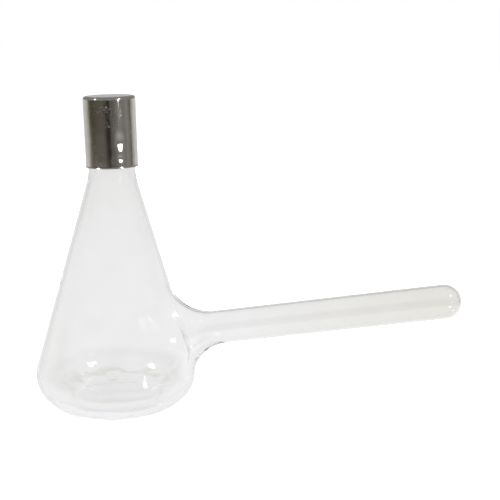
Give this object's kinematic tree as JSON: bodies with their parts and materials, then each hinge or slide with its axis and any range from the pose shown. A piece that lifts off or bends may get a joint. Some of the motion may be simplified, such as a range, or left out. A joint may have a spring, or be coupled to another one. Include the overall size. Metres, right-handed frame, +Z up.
{
  "type": "side-arm culture flask",
  "caption": "Conical glass culture flask with a closed, rising cuvette side arm for turbidity readings and a slip-on steel closure over its straight neck.",
  "frame": {"origin": "centre of the base, on the plane that the flask stands on", "axes": "+X from the flask towards the side arm's tip, +Z up along the flask's axis towards the neck"},
  "size_m": [0.2308, 0.088, 0.1699],
  "materials": {
    "clear_glass": "gloss",
    "polished_steel": "polished",
    "spring_steel": "satin"
  },
  "bodies": {
    "flask": {"flask_body": "clear_glass", "neck_tube": "clear_glass", "side_arm_tube": "clear_glass"},
    "closure": {"closure_shell": "polished_steel", "finger_spring": "spring_steel"}
  },
  "joints": [
    {"name": "closure_lift", "type": "slide", "parent": "flask", "child": "closure", "axis": [0, 0, 1], "range_m": [0, 0.05]}
  ]
}
